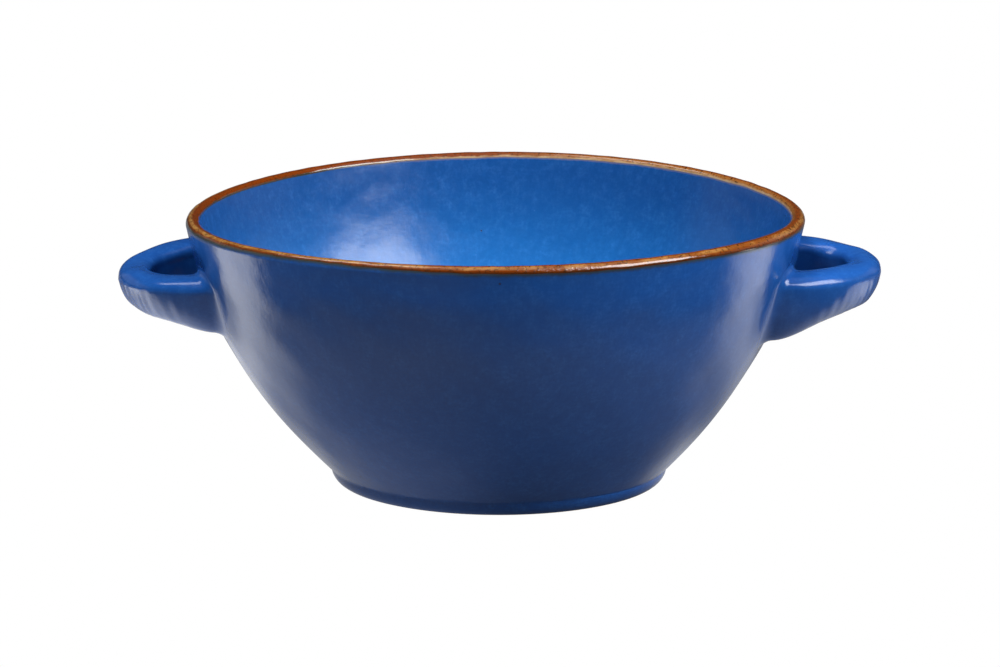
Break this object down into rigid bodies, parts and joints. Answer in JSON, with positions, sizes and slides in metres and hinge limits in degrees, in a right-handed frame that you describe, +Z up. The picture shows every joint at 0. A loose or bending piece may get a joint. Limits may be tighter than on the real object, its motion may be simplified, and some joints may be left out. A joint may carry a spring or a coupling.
{
  "type": "lug soup bowl",
  "caption": "Round stoneware soup bowl on a turned foot, with a flat loop handle on each side and a brown glazed lip, for serving and carrying hot soup.",
  "frame": {"origin": "on the bowl's axis, in the plane that the foot ring rests on", "axes": "+X through the right handle, +Y towards the back, +Z up"},
  "size_m": [0.187, 0.152, 0.068],
  "materials": {
    "bare_clay": "matt bare stoneware",
    "outer_blue_glaze": "glossy dark cobalt glaze with fine pits",
    "inner_blue_glaze": "glossy bright cobalt glaze, finely mottled",
    "brown_glaze": "glossy burnt orange iron glaze, breaking lighter on edges"
  },
  "bodies": {
    "root": {"bowl_body": "bare_clay", "foot_ring": "bare_clay", "right_handle": "outer_blue_glaze", "left_handle": "outer_blue_glaze", "right_handle_slip": "outer_blue_glaze", "left_handle_slip": "outer_blue_glaze", "outer_glaze": "outer_blue_glaze", "inner_glaze": "inner_blue_glaze", "rim_band": "brown_glaze", "base_glaze": "outer_blue_glaze"}
  },
  "joints": []
}
